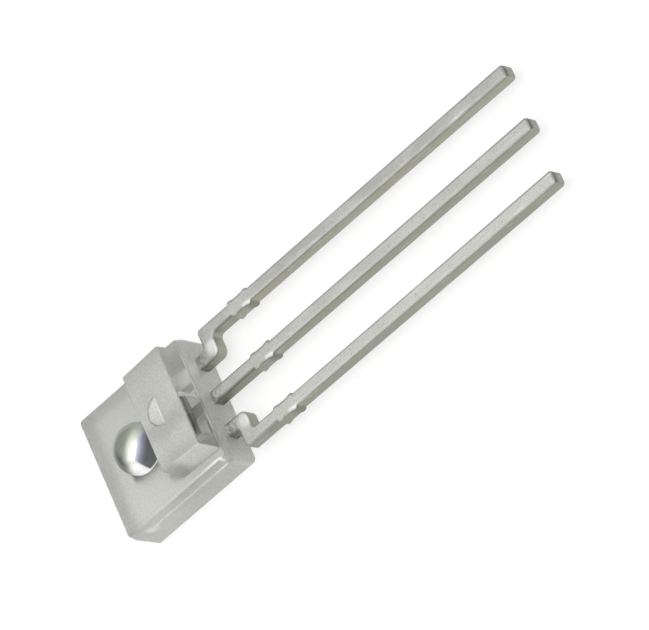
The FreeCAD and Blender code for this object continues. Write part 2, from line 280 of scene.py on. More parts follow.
def block_corners(spread):
    """Corners of the block, spread towards its foot."""
    lead_side = FRONT_HALF_LENGTH - BLOCK_LEDGE
    lens_side = lead_side - BLOCK_LENGTH - spread
    narrow = BLOCK_HALF_WIDTH + spread
    wide = BLOCK_HALF_WIDTH + BLOCK_FLARE + spread
    return [
        (narrow, lens_side, BLOCK_CORNER_RADIUS),
        (wide, lead_side, BLOCK_CORNER_RADIUS),
        (-wide, lead_side, BLOCK_CORNER_RADIUS),
        (-narrow, lens_side, BLOCK_CORNER_RADIUS),
    ]


def add_plate(mesh):
    """Drafted plate up to its front face; returns the loop that bounds that face."""
    profile = rounded(
        [
            (-RUN_IN, 0, 0),
            (INSET - BACK_INSET, 0, BACK_EDGE_RADIUS),
            (INSET, PARTING, PARTING_RADIUS),
            (0, FRONT, FRONT_EDGE_RADIUS),
            (-RUN_IN, FRONT, 0),
        ],
        closed=False, steps=5, support=SUPPORT,
    )[1:-1]
    rings = []
    for distance, height in profile:
        outline = rounded(grown(plate_corners(), distance), closed=True, steps=10, support=SUPPORT)
        rings.append(add_ring(mesh, outline, height))
    join_rings(mesh, rings)
    mesh.faces.new(reversed(rings[0]))
    return rings[-1]


def add_block(mesh):
    """Raised block; returns the loops at its foot and round its top face."""
    foot = block_corners(BLOCK_DRAFT)
    crown = block_corners(0)
    profile = rounded(
        [
            (RUN_IN, 0, 0),
            (0, 0, BLOCK_FOOT_RADIUS),
            (0, BLOCK_RISE, BLOCK_EDGE_RADIUS),
            (-RUN_IN, BLOCK_RISE, 0),
        ],
        closed=False, steps=5, support=SUPPORT / 2,
    )[1:-1]
    rings = []
    for distance, height in profile:
        corners = grown(blend_corners(foot, crown, height / BLOCK_RISE), distance)
        outline = rounded(corners, closed=True, steps=6, support=SUPPORT)
        rings.append(add_ring(mesh, outline, FRONT + height))
    join_rings(mesh, rings)
    return rings[0], rings[-1]


def add_lens(mesh):
    """Dome with a small fillet at its foot; returns the loop at the foot."""
    around = 144
    levels = 40
    foot_steps = 4
    profile = []
    for step in range(foot_steps + 1):
        turn = math.radians(90) * step / foot_steps
        rho = LENS_RADIUS + LENS_FOOT_RADIUS * (1 - math.sin(turn))
        profile.append((rho, LENS_FOOT_RADIUS * (1 - math.cos(turn))))
    profile.insert(0, (profile[0][0] + SUPPORT, 0))
    start = math.asin(LENS_FOOT_RADIUS / LENS_RADIUS)
    for step in range(1, levels):
        turn = start + (math.pi / 2 - start) * step / levels
        profile.append((LENS_RADIUS * math.cos(turn), LENS_RADIUS * math.sin(turn)))
    rings = []
    for rho, height in profile:
        points = []
        for index in range(around):
            angle = 2 * math.pi * index / around
            points.append((rho * math.cos(angle), LENS_Y + rho * math.sin(angle)))
        rings.append(add_ring(mesh, points, FRONT + height))
    join_rings(mesh, rings)
    pole = mesh.verts.new((0, LENS_Y, FRONT + LENS_RADIUS))
    last = rings[-1]
    for index in range(around):
        mesh.faces.new((last[index], last[(index + 1) % around], pole))
    return rings[0]


def add_mark(mesh, crown_loop):
    """Half-round recess in the block's top: a flat floor with a ramp up to its straight side."""
    steps = 64
    rings = []
    for inward, down in MARK_WALL:
        radius = MARK_RADIUS - inward * MM
        ring = []
        for step in range(steps + 1):
            angle = math.pi * (1 + step / steps)
            y = radius * math.sin(angle)
            drop = min(down * MM, MARK_DEPTH * min(1, -y / MARK_RAMP))
            ring.append(mesh.verts.new((radius * math.cos(angle), MARK_Y + y, BLOCK_TOP - drop)))
        rings.append(ring)
    for outer, inner in zip(rings, rings[1:]):
        for index in range(steps):
            mesh.faces.new((outer[index], inner[index], inner[index + 1], outer[index + 1]))
    floor = rings[-1]
    for index in range(steps // 2 - 1):
        mesh.faces.new((floor[index], floor[-1 - index], floor[-2 - index], floor[index + 1]))
    mesh.faces.new((floor[steps // 2 - 1], floor[steps // 2 + 1], floor[steps // 2]))
    straight = [ring[-1] for ring in rings] + [ring[0] for ring in reversed(rings)]
    fill_between(mesh, [crown_loop, rings[0][:-1] + straight[:-1]])


def make_package():
    """The whole package as one closed mesh."""
    mesh = bmesh.new()
    front_loop = add_plate(mesh)
    foot_loop, crown_loop = add_block(mesh)
    lens_loop = add_lens(mesh)
    fill_between(mesh, [front_loop, foot_loop, lens_loop])
    add_mark(mesh, crown_loop)
    return finished(mesh, "clear_body")


# The leads


def lead_piece(name, corners, centre):
    """Flat strip with soft edges, widened from its middle line by the stubs and by the tin."""
    mesh = bmesh.new()
    profile = rounded(
        [
            (-RUN_IN, LEAD_BOTTOM, 0),
            (0, LEAD_BOTTOM, LEAD_BOTTOM_RADIUS),
            (0, LEAD_TOP, LEAD_TOP_RADIUS),
            (-RUN_IN, LEAD_TOP, 0),
        ],
        closed=False, steps=6, support=SUPPORT,
    )[1:-1]
    rings = []
    for distance, height in profile:
        outline = rounded(grown(corners, distance), closed=True, steps=6, support=SUPPORT / 2)
        rings.append(add_ring(mesh, outline, height))
    join_rings(mesh, rings)
    fill_between(mesh, [rings[-1]])
    fill_between(mesh, [rings[0]])
    for vertex in mesh.verts:
        widening = 1 + 2 * (stub_rise(vertex.co.y) + coat(vertex.co.y)) / LEAD_WIDTH
        vertex.co.x = centre + (vertex.co.x - centre) * widening
    return finished(mesh, name)


def coat(y):
    """How much thicker the tin is on each side at a place along a lead: it gathers towards the tip."""
    share = min(1, max(0, (y - COAT_START) / (LEAD_TIP - COAT_START)))
    return COAT_GROWTH * share


def stub_rise(y):
    """How far the cut tie bar stands proud at a place along a lead: most near its two ends."""
    inward = STUB_LENGTH / 2 - abs(y - STUB_MIDDLE)
    if inward <= 0:
        return 0
    edge = math.sin(math.pi / 2 * min(1, inward / STUB_TAPER))
    waist = min(1, max(0, inward / STUB_TAPER - WAIST_TAPERS) / WAIST_TAPERS)
    return STUB_RISE * edge - STUB_WAIST * (1 - math.cos(math.pi * waist)) / 2


def stub_side(x, rising):
    """Close points along one side of a lead where the tie bar was cut."""
    steps = 40
    places = []
    for step in range(steps + 1):
        places.append((x, STUB_MIDDLE + STUB_LENGTH * (step / steps - 0.5), 0))
    return places if rising else places[::-1]


def outer_lead_corners(side):
    """Outline of an outer lead, run anticlockwise, for the side given as -1 or 1."""
    half = LEAD_WIDTH / 2
    finger_start = FINGER_END + FINGER_LENGTH
    corners = [
        (FINGER_INNER, FINGER_END, TIP_RADIUS),
        (ROOT_PITCH + half, FINGER_END, TIP_RADIUS),
        (ROOT_PITCH + half, JOG_NEAR, JOG_HOLLOW_RADIUS),
        (LEAD_PITCH + half, JOG_NEAR, JOG_OUTER_RADIUS),
    ]
    corners += stub_side(LEAD_PITCH + half, True)
    corners += [
        (LEAD_PITCH + half, LEAD_TIP, TIP_RADIUS),
        (LEAD_PITCH - half, LEAD_TIP, TIP_RADIUS),
    ]
    corners += stub_side(LEAD_PITCH - half, False)
    corners += [
        (LEAD_PITCH - half, JOG_FAR, JOG_HOLLOW_RADIUS),
        (ROOT_PITCH - half, JOG_FAR, JOG_INNER_RADIUS),
        (ROOT_PITCH - half, finger_start + FINGER_TAPER, TIP_RADIUS),
        (FINGER_INNER, finger_start - FINGER_TAPER, TIP_RADIUS),
    ]
    if side > 0:
        return corners
    return [(-x, y, radius) for x, y, radius in reversed(corners)]


def centre_lead_corners():
    """Outline of the centre lead with its pad, run anticlockwise."""
    pad_low, pad_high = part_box("lead_centre")
    pad_end = pad_low.y + PAD_LENGTH
    half = LEAD_WIDTH / 2
    right = [
        (pad_high.x, pad_low.y, TIP_RADIUS),
        (pad_high.x, pad_end, TIP_RADIUS),
        (half, pad_end, TIP_RADIUS),
    ]
    right += stub_side(half, True)
    right += [(half, LEAD_TIP, TIP_RADIUS)]
    left = [(-x, y, radius) for x, y, radius in reversed(right)]
    return right + left


# The pieces inside


def slab_mesh(half_width, low, high, bottom, top, spread, edge):
    """Flat slab between two places along Y, wider at its bottom by a spread, with a soft upper edge."""
    mesh = bmesh.new()
    corners = [
        (half_width, low, edge),
        (half_width, high, edge),
        (-half_width, high, edge),
        (-half_width, low, edge),
    ]
    profile = [(spread, bottom)]
    steps = 6
    for step in range(steps + 1):
        turn = math.radians(90) * step / steps
        inward = edge * (1 - math.cos(turn))
        profile.append((-inward, top - edge + edge * math.sin(turn)))
    rings = []
    for distance, height in profile:
        outline = rounded(grown(corners, distance), closed=True, steps=6, support=edge / 4)
        rings.append(add_ring(mesh, outline, height))
    join_rings(mesh, rings)
    fill_between(mesh, [rings[0]])
    fill_between(mesh, [rings[-1]])
    return mesh


def add_tube(mesh, path, radii, frame_x, around=16):
    """Closed round tube along a flat path, with a radius at each point and a direction across the path."""
    rings = []
    for index, point in enumerate(path):
        ahead = path[min(index + 1, len(path) - 1)] - path[max(index - 1, 0)]
        frame_y = ahead.normalized().cross(frame_x)
        ring = []
        for step in range(around):
            angle = 2 * math.pi * step / around
            offset = frame_x * math.cos(angle) + frame_y * math.sin(angle)
            ring.append(mesh.verts.new(point + offset * radii[index]))
        rings.append(ring)
    join_rings(mesh, rings)
    mesh.faces.new(rings[0])
    mesh.faces.new(rings[-1])


def wire_piece(name, node, heading):
    """Bond wire: a ball on the chip, a smooth loop along a heading and a wedge on the lead."""
    low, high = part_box(node)
    middle = (low + high) / 2
    half_span = abs(heading.dot(high - low)) / 2 - WIRE_RADIUS
    peak = high.z - WIRE_RADIUS

    def spot(share, height):
        """Point a share of the way along the wire at a height."""
        point = middle + heading * half_span * (2 * share - 1)
        return Vector((point.x, point.y, height))

    guides = [
        spot(0, CHIP_TOP + BALL_HEIGHT),
        spot(0, peak + RISE_PULL),
        spot(FALL_SHARE, peak + FALL_PULL),
        spot(LANDING_SHARE, LEAD_TOP + LANDING_HEIGHT),
    ]
    steps = 40
    path = []
    for step in range(steps + 1):
        t = step / steps
        weights = ((1 - t) ** 3, 3 * (1 - t) ** 2 * t, 3 * (1 - t) * t ** 2, t ** 3)
        path.append(sum((guide * weight for guide, weight in zip(guides, weights)), Vector()))
    ball = [spot(0, CHIP_TOP + BALL_HEIGHT * level) for level, _ in BALL_RINGS]
    wedge = spot(1, LEAD_TOP + WEDGE_HEIGHT)
    radii = [BALL_RADIUS * share for _, share in BALL_RINGS] + [WIRE_RADIUS] * steps + [WEDGE_RADIUS]
    mesh = bmesh.new()
    add_tube(mesh, ball + path[1:] + [wedge], radii, Vector((-heading.y, heading.x, 0)))
    return finished(mesh, name)


# Materials

# Most pairs say where a soft border starts and where it is full. Pairs of widths, strengths, tones,
# mottle, clearness or roughness are the values at both ends. A facing share is one where the surface
# looks straight along the axis, and zero where it is square to it. Covers say how strongly a mark shows.

WHITE = (1, 1, 1, 1)

EPOXY_INDEX = 1.55
CLOUD_SIZE = 0.35 * MM
MOTTLE_SIZE = 0.09 * MM
SPECK_SIZE = 0.07 * MM
GRAIN_SIZE = 0.05 * MM
GRAIN_DEPTH = 0.016 * MM
END_MARK_SIZE = 0.20 * MM

JUST_ABOVE = 0.01 * MM
WALL_FACING = (0.8, 0.95)
SIDE_FACING = (0.3, 0.8)
RIM_FACING = (0.5, 0.1)
FRONT_FACING = (0.5, 0.9)
CROWN_HEIGHTS = (BLOCK_TOP - 0.12 * MM, BLOCK_TOP - 0.04 * MM)

MARK_FLOOR_EDGE = (0.50 * MM, 0.45 * MM)
MARK_SLOPE_EDGE = (MARK_RADIUS, MARK_RADIUS - 0.02 * MM)
MARK_LIP_Y = MARK_Y - 0.02 * MM
MARK_LIP_EDGE = (0.045 * MM, 0.01 * MM)
MARK_LIP_REACH = (0.48 * MM, 0.40 * MM)

# Two painted highlights on the +X side: a bright line on the front face just inside its edge and one along
# the parting line.
PARTING_EDGE = (0.07 * MM, 0.02 * MM)
PARTING_FACING = (0.5, 0.9)
# A strip of the front face along its +X edge is painted darker, as painted shade of the side.
BAND_EDGE = (FRONT_HALF_WIDTH - 0.23 * MM, FRONT_HALF_WIDTH - 0.18 * MM)
SCUFF_X = FRONT_HALF_WIDTH - 0.065 * MM
SCUFF_CORE = 0.008 * MM
SCUFF_WIDENS = (0.9 * MM, 1.9 * MM)
SCUFF_WIDTHS = (0.055 * MM, 0.075 * MM)
SCUFF_GAINS = (0.7 * MM, 1.8 * MM)
SCUFF_STRENGTHS = (0.60, 1.0)
LINES_START = (-1.9 * MM, -1.0 * MM)
LINES_END = (2.10 * MM, 1.98 * MM)
LINES_GAIN = (1.3 * MM, 1.9 * MM)
# A painted highlight patch on the +X side near the lens end, just below the parting line.
GRAZE_PLACE = (-1.60 * MM, PARTING - 0.05 * MM)
GRAZE_EDGE = (0.32 * MM, 0.10 * MM)
GRAZE_FACING = (0.4, 0.8)
GRAZE_GRAIN = (0.35, 0.60)
GLINT_PLACE = (FRONT_HALF_WIDTH - 0.02 * MM, FRONT_HALF_LENGTH - 0.22 * MM)
GLINT_EDGE = (0.10 * MM, 0.03 * MM)

# The ledge behind the block, at the foot of its wall, is painted dark, as painted shade.
LEDGE_EDGE = (FRONT_HALF_LENGTH - 0.09 * MM, FRONT_HALF_LENGTH - 0.06 * MM)
# A painted highlight line along the ledge behind the block.
SEAM_Y = FRONT_HALF_LENGTH - 0.058 * MM
SEAM_EDGE = (0.025 * MM, 0.008 * MM)
SPECK_BORDER = (0.58, 0.42)
# A dark smudge on the +X side near the lead end, at the parting line.
BRUISE_PLACE = (HALF_LENGTH - 0.22 * MM, PARTING)
BRUISE_EDGE = (0.18 * MM, 0.05 * MM)
BRUISE_ACROSS = (HALF_WIDTH - 0.20 * MM, HALF_WIDTH - 0.10 * MM)
# Painted blueish glints, a mottle over the upper lead-end face.
END_MARK_BORDER = (0.54, 0.64)
END_MARK_FACING = (0.7, 0.9)
END_MARK_HEIGHTS = (0.7 * MM, 1.0 * MM)

# How much light the epoxy lets in: one is clear, zero is chalky.
FACE_CLEARNESS = (0.70, 0.98)
CROWN_CLEARNESS = (0.86, 0.68)
CROWN_FADES = (-1.6 * MM, 1.2 * MM)
CROWN_MOTTLE = (-0.10, 0.10)
SIDE_CLEARNESS = (0.78, 0.40)
SIDE_FADES = (0.9 * MM, 1.3 * MM)
LINES_CLEARNESS = (0.35, 0.10)
CLEARNESS = {
    "rim": 0.60,
    "mark_floor": 0.50,
    "mark_slope": 0.85,
    "mark_lip": 0.25,
    "graze": 0.10,
    "polished": 1.0,
    "glint": 0.15,
}

EPOXY_GRAIN = 0.7
MATT_ROUGHNESS = (0.38, 0.50)
WALL_ROUGHNESS = (0.08, 0.24)
WALL_DULLS = (-0.3 * MM, -1.0 * MM)
ROUGHNESS = {"crown": 0.62, "side": 0.30, "lines": 0.22, "lens": 0.15}

TONE_RISES = (-2.2 * MM, 0.8 * MM)
TONE_ACROSS = (-1.2 * MM, 1.8 * MM)
# Tones at the lens end and at the lead end.
LEFT_TONES = ((0.83, 0.84, 0.80, 1), (0.79, 0.80, 0.76, 1))
RIGHT_TONES = ((0.96, 0.97, 0.93, 1), (0.95, 0.96, 0.92, 1))
EPOXY_TONES = {
    "crown": (0.93, 0.94, 0.90, 1),
    "ledge": (0.58, 0.59, 0.56, 1),
    "seam": (1.0, 1.0, 0.98, 1),
    "band": (0.80, 0.81, 0.77, 1),
    "rubbed": (1.0, 1.0, 0.98, 1),
    "rim": (0.91, 0.92, 0.87, 1),
    "mark_slope": (0.84, 0.85, 0.81, 1),
    "specks": (0.68, 0.69, 0.64, 1),
    "mark_lip": (0.97, 0.97, 0.94, 1),
    "glint": (1.0, 1.0, 0.99, 1),
    "bruise": (0.50, 0.51, 0.49, 1),
    "end_marks": (0.62, 0.63, 0.64, 1),
    "polished": (0.95, 0.96, 0.93, 1),
}

EPOXY_COVERS = {"band": 0.8, "specks": 0.55, "bruise": 0.6, "end_marks": 0.5}

SPECKLE_SIZE = 0.035 * MM
STREAK_SIZE = 0.08 * MM
TIN_CLOUD_SIZE = 0.9 * MM
STAIN_SIZE = 0.13 * MM
TIN_DEPTH = 0.002 * MM
TIN_GRAIN = 0.6
ROLLED_FACING = (0.35, 0.85)
END_FACING = (0.6, 0.9)
# Painted shade along the rounded edge between a lead's face and its side, laid over the lamp's highlight
# there.
EDGE_FROM_FACE = (1.0, 0.97)
EDGE_FROM_SIDE = (0.60, 0.90)
NICK_FACING = (0.5, 0.7)
TIN_CLOUD_BORDER = (0.35, 0.70)
SPECKLE_BORDER = (0.30, 0.50)
STREAK_BORDER = (0.55, 0.75)
TIN_ACROSS = (-2.4 * MM, 2.4 * MM)
TIP_START = LEAD_TIP - 0.5 * MM
TIP_HEIGHTS = (LEAD_TOP - 0.24 * MM, LEAD_TOP - 0.10 * MM)
# Painted highlight on the front faces at the outer leads' jogs.
BURNISHED_PLACE = (1.40 * MM, 3.13 * MM)
BURNISHED_EDGE = (0.36 * MM, 0.10 * MM)
# A painted highlight streak lies at a lead's right side near the stub's far end and is this many times
# longer than wide.
NICK_SLIMNESS = 2
NICK_PLACE = (NICK_SLIMNESS * LEAD_WIDTH / 2, STUB_MIDDLE + 0.26 * MM)
NICK_EDGE = (0.26 * MM, 0.08 * MM)
STAIN_BORDER = (0.46, 0.58)
STAIN_ALONG = (3.0 * MM, 2.45 * MM)
# The far end of each stub's side face is darkened, partly a dark burr of the shear and partly painted shade.
CUT_START = (STUB_MIDDLE, STUB_MIDDLE + 0.30 * MM)
CUT_END = (STUB_MIDDLE + 0.50 * MM, STUB_MIDDLE + 0.42 * MM)
PAD_REACH = 0.8 * MM
BARE_END = HALF_LENGTH - 0.1 * MM
TIN_ROUGHNESS = (0.42, 0.58)
TIN_METAL = 0.92
BARE_METAL = 0.05
# Tones on the left and on the right. The cut sides are darker partly for their bare sheared metal and partly
# as painted shade.
FACE_TONES = ((0.50, 0.505, 0.48, 1), (0.64, 0.65, 0.615, 1))
CUT_TONES = ((0.40, 0.405, 0.33, 1), (0.32, 0.325, 0.265, 1))
# The left finger's pale tone is painted light, brightening a finger that lies in shade inside the body.
FINGER_TONES = ((0.95, 0.95, 0.91, 1), (0.45, 0.46, 0.40, 1))
# Tones low on the tip and at its upper edge; the darker one is painted shade along that edge.
TIP_TONES = ((0.33, 0.33, 0.295, 1), (0.15, 0.15, 0.13, 1))
# Tones on the pad's cut sides and on its rolled faces: the sides are painted light against the shade inside
# the body, the rolled faces painted dark as that shade.
PAD_TONES = ((0.80, 0.81, 0.74, 1), (0.28, 0.29, 0.245, 1))
TIN_TONES = {
    "cloud": (0.64, 0.65, 0.615, 1),
    "cut_cloud": (0.42, 0.425, 0.36, 1),
    "soft_edge": (0.28, 0.28, 0.25, 1),
    "grain": (0.36, 0.36, 0.31, 1),
    "streak": (0.84, 0.84, 0.82, 1),
    "bright": (0.95, 0.95, 0.93, 1),
    "stain": (0.17, 0.17, 0.13, 1),
    "cut": (0.13, 0.13, 0.10, 1),
}
TIN_COVERS = {"cut_cloud": 0.4, "soft_edge": 0.50, "streak": 0.40, "bright": 0.75, "stain": 0.6, "cut": 0.45}

CHIP_SKIN = 0.002 * MM
# Each flat of the sensing area has a direction across the chip and a reach; the run goes along the left one.
LEFT_FLAT = (-0.64, -0.77, 0.745 * MM)
LOW_FLAT = (0.45, -0.89, 0.79 * MM)
LEFT_FLAT_RUN = (0.77, -0.64, 0)
SENSING_EDGE = (-0.015 * MM, 0.02 * MM)
# Painted sheen along the sensing area's left flat: violet, then pale blue at its edge.
BLUE_EDGE = (-0.25 * MM, -0.04 * MM)
PALE_EDGE = (-0.10 * MM, 0.0)
# The bright patch round the sensing area is painted light: the lamp's reflection as the lens shows it, laid
# on the chip's bright metal.
BRIGHT_DELAY = 0.08 * MM
BRIGHT_EDGE = (0.19 * MM, 0.05 * MM)
BRIGHT_ACROSS = (-0.46 * MM, -0.18 * MM)
BRIGHT_ALONG = (-1.07 * MM, -0.99 * MM)
BRIGHT_RUN = (0.15 * MM, 0.27 * MM)
GAP_PLACE = 0.567 * MM
GAP_EDGE = (0.055 * MM, 0.01 * MM)
GAP_DEPTH = (-0.03 * MM, 0.01 * MM)
GAP_STRENGTHS = (1.0, 0.25)
TILE_SIZE = 0.5 * MM
SHADE_ALONG = (-1.10 * MM, -1.02 * MM)
SHADE_ACROSS = (-0.45 * MM, -0.30 * MM)
CIRCUITS_FADE = (-0.18 * MM, -0.44 * MM)
CHIP_METAL = 0.6
# A weak glow of the bright metal stands for the light that the lens gathers on it.
CHIP_GLOW = 0.35
CHIP_ROUGHNESS = 0.25
CHIP_TONES = {
    "dark": (0.085, 0.09, 0.105, 1),
    "violet": (0.34, 0.30, 0.47, 1),
    "pale": (0.66, 0.74, 0.93, 1),
    "tile": (0.62, 0.65, 0.55, 1),
    "other_tile": (0.74, 0.76, 0.67, 1),
    "joint": (0.60, 0.62, 0.54, 1),
    "faded": (0.58, 0.61, 0.52, 1),
    "shade": (0.02, 0.03, 0.035, 1),
    "bright": (0.97, 0.97, 0.97, 1),
    "side": (0.09, 0.09, 0.085, 1),
}

ADHESIVE_GRAIN_SIZE = 0.02 * MM
ADHESIVE_DEPTH = 0.004 * MM
ADHESIVE_GRAIN = 0.6
ADHESIVE_METAL = 0.7
ADHESIVE_ROUGHNESS = 0.5
ADHESIVE_TONES = ((0.30, 0.30, 0.28, 1), (0.55, 0.55, 0.53, 1))
DRAW_MARK_SIZE = 0.02 * MM
GOLD_ROUGHNESS = 0.22
GOLD_TONES = ((0.85, 0.52, 0.18, 1), (0.98, 0.70, 0.32, 1))


class Recipe:
    """A material in the making: each call adds one node or a few and gives back their output."""

    def __init__(self, name):
        self.material = bpy.data.materials.new(name)
        self.material.use_nodes = True
        self.nodes = self.material.node_tree.nodes
        self.links = self.material.node_tree.links
        self.shader = self.nodes["Principled BSDF"]

    def feed(self, socket, value):
        """Join an output to a socket, or set the socket to a plain value."""
        if isinstance(value, bpy.types.NodeSocket):
            self.links.new(value, socket)
        else:
            socket.default_value = value

    def add(self, kind, sockets, **settings):
        """Node of a kind with its settings and its fed sockets."""
        node = self.nodes.new("ShaderNode" + kind)
        for name, value in settings.items():
            setattr(node, name, value)
        for name, value in sockets.items():
            self.feed(node.inputs[name], value)
        return node

    def math(self, operation, first, second=0.0):
        """Result of an operation on one or two numbers."""
        return self.add("Math", {0: first, 1: second}, operation=operation).outputs[0]

    def product(self, first, *factors):
        """Product of all the numbers."""
        for factor in factors:
            first = self.math("MULTIPLY", first, factor)
        return first

    def ease(self, value, start, full):
        """Zero at the start, one where it is full and smooth between; the start may be the higher one."""
        sockets = {"Value": value, "From Min": start, "From Max": full}
        return self.add("MapRange", sockets, interpolation_type="SMOOTHSTEP").outputs[0]

    def near(self, value, centre, start, full):
        """The same ease, by how far a value lies from a centre."""
        return self.ease(self.math("ABSOLUTE", self.math("SUBTRACT", value, centre)), start, full)

    def scale(self, value, low, high):
        """Number between low and high for a share from zero to one."""
        return self.add("MapRange", {"Value": value, "To Min": low, "To Max": high}).outputs[0]

    def blend(self, share, first, second):
        """Colour between two colours, which are the node's sockets 6 and 7."""
        return self.add("Mix", {0: share, 6: first, 7: second}, data_type="RGBA").outputs[2]

    def between(self, share, first, second):
        """Number between two numbers, which are the node's sockets 2 and 3."""
        return self.add("Mix", {0: share, 2: first, 3: second}, data_type="FLOAT").outputs[0]

    def place(self):
        """X, Y and Z in the model's frame."""
        coordinates = self.add("TexCoord", {})
        split = self.add("SeparateXYZ", {0: coordinates.outputs["Object"]})
        return split.outputs[0], split.outputs[1], split.outputs[2]

    def facing(self):
        """The three parts of the surface's direction."""
        coordinates = self.add("TexCoord", {})
        split = self.add("SeparateXYZ", {0: coordinates.outputs["Normal"]})
        return split.outputs[0], split.outputs[1], split.outputs[2]

    def noise(self, size, stretch=(1, 1, 1), detail=3, roughness=0.55):
        """Cloudy pattern whose lumps have a size in metres, stretched along each axis."""
        coordinates = self.add("TexCoord", {})
        mapping = self.add("Mapping", {0: coordinates.outputs["Object"]})
        mapping.inputs["Scale"].default_value = tuple(1 / share for share in stretch)
        sockets = {"Vector": mapping.outputs[0], "Scale": 1 / size, "Detail": detail, "Roughness": roughness}
        return self.add("TexNoise", sockets).outputs["Fac"]

    def distance(self, first, second, first_centre, second_centre):
        """Distance from a centre in the plane of two coordinates."""
        across = self.math("POWER", self.math("SUBTRACT", first, first_centre), 2)
        along = self.math("POWER", self.math("SUBTRACT", second, second_centre), 2)
        return self.math("SQRT", self.math("ADD", across, along))

    def beyond(self, x, y, across, along, reach):
        """How far a place lies beyond a straight line, given by its direction and its reach."""
        total = self.math("ADD", self.product(x, across), self.product(y, along))
        return self.math("SUBTRACT", total, reach)

    def bump(self, height, depth, strength):
        """Fine relief of a depth in metres."""
        node = self.add("Bump", {"Height": height, "Distance": depth, "Strength": strength})
        self.links.new(node.outputs[0], self.shader.inputs["Normal"])

    def set(self, **values):
        """Set sockets of the shader, each named with underscores for its spaces."""
        for name, value in values.items():
            self.feed(self.shader.inputs[name.replace("_", " ")], value)
        return self.material


def cover(mix, base, coats):
    """Base with coats laid over it in turn by a recipe's blend or between, each given as (share, value)."""
    for share, value in coats:
        base = mix(share, base, value)
    return base


def package_zones(make):
    """Coordinates and zones of the package: each zone is one inside its borders and zero outside."""
    x, y, z = make.place()
    facing_x, facing_y, facing_z = make.facing()
    proud = make.math("GREATER_THAN", z, FRONT + JUST_ABOVE)
    sunk = make.math("SUBTRACT", 1, proud)
    in_lens = make.math("LESS_THAN", make.distance(x, y, 0, LENS_Y), LENS_RADIUS + LENS_FOOT_RADIUS)
    lens = make.product(in_lens, proud)
    wall = make.product(make.ease(facing_y, *WALL_FACING), proud)
    return SimpleNamespace(
        x=x, y=y, z=z, facing_x=facing_x, facing_y=facing_y, sunk=sunk, lens=lens, wall=wall,
        polished=make.math("MAXIMUM", lens, wall),
        crown=make.ease(z, *CROWN_HEIGHTS),
        side=make.product(make.ease(facing_x, *SIDE_FACING), proud),
        rim=make.product(make.ease(facing_z, *RIM_FACING), sunk),
        front=make.product(make.ease(facing_z, *FRONT_FACING), sunk),
    )


def add_mark_zones(make, zones):
    """Floor, slope and straight lip of the half-round mark; the slope is painted as shade and the lip as a
    highlight.
    """
    from_mark = make.distance(zones.x, zones.y, 0, MARK_Y)
    in_mark = make.product(make.math("LESS_THAN", zones.y, MARK_Y), zones.crown)
    zones.mark_floor = make.product(make.ease(from_mark, *MARK_FLOOR_EDGE), in_mark)
    # The mark's sloping wall is painted darker, as painted shade.
    whole = make.product(make.ease(from_mark, *MARK_SLOPE_EDGE), in_mark)
    zones.mark_slope = make.math("SUBTRACT", whole, zones.mark_floor)
    # Painted highlight along the mark's straight lip.
    on_lip = make.near(zones.y, MARK_LIP_Y, *MARK_LIP_EDGE)
    zones.mark_lip = make.product(on_lip, make.ease(from_mark, *MARK_LIP_REACH), zones.crown)


def add_rubbed_zones(make, zones, mottle):
    """Painted light on the +X side: a painted highlight on the front face along its edge and one along the
    parting line, a strip of painted shade beside them, a painted highlight patch near the lens end and a
    glint.
    """
    x, y, z = zones.x, zones.y, zones.z
    # Painted highlights along the parting line and just inside the front face's +X edge.
    parting = make.product(make.near(z, PARTING, *PARTING_EDGE), make.ease(zones.facing_x, *PARTING_FACING))
    # Painted shade on the front face's strip along the +X edge.
    zones.band = make.product(make.ease(x, *BAND_EDGE), zones.front)
    width = make.between(make.ease(y, *SCUFF_WIDENS), *SCUFF_WIDTHS)
    strength = make.between(make.ease(y, *SCUFF_GAINS), *SCUFF_STRENGTHS)
    scuff = make.product(make.near(x, SCUFF_X, width, SCUFF_CORE), zones.front, strength)
    lines = make.math("MAXIMUM", scuff, parting)
    zones.lines = make.product(lines, make.ease(y, *LINES_START), make.ease(y, *LINES_END))
    # Painted highlight patch on the +X side near the lens end.
    graze = make.ease(make.distance(y, z, *GRAZE_PLACE), *GRAZE_EDGE)
    graze = make.product(graze, make.ease(zones.facing_x, *GRAZE_FACING), zones.sunk)
    zones.graze = make.product(graze, make.ease(mottle, *GRAZE_GRAIN))
    zones.glint = make.product(make.ease(make.distance(x, y, *GLINT_PLACE), *GLINT_EDGE), zones.sunk)


def add_stain_zones(make, zones):
    """Painted shade on the ledge behind the block, a painted highlight line along it, specks, a dark smudge
    near the +X corner at the lead end and painted blueish glints on the lead-end face.
    """
    # Painted shade on the ledge at the foot of the block's wall.
    zones.ledge = make.product(make.ease(zones.y, *LEDGE_EDGE), zones.sunk)
    # Painted highlight line along the ledge.
    zones.seam = make.product(make.near(zones.y, SEAM_Y, *SEAM_EDGE), zones.sunk)
    zones.specks = make.ease(make.noise(SPECK_SIZE), *SPECK_BORDER)
    # Darker spot on the +X side near the lead end.
    bruise = make.ease(make.distance(zones.y, zones.z, *BRUISE_PLACE), *BRUISE_EDGE)
    zones.bruise = make.product(bruise, make.ease(zones.x, *BRUISE_ACROSS))
    # Painted blueish glints mottled over the lead-end face.
    end_marks = make.ease(make.noise(END_MARK_SIZE, stretch=(1, 1, 0.6), detail=2), *END_MARK_BORDER)
    end_marks = make.product(end_marks, make.ease(zones.facing_y, *END_MARK_FACING))
    zones.end_marks = make.product(end_marks, make.ease(zones.z, *END_MARK_HEIGHTS), zones.sunk)


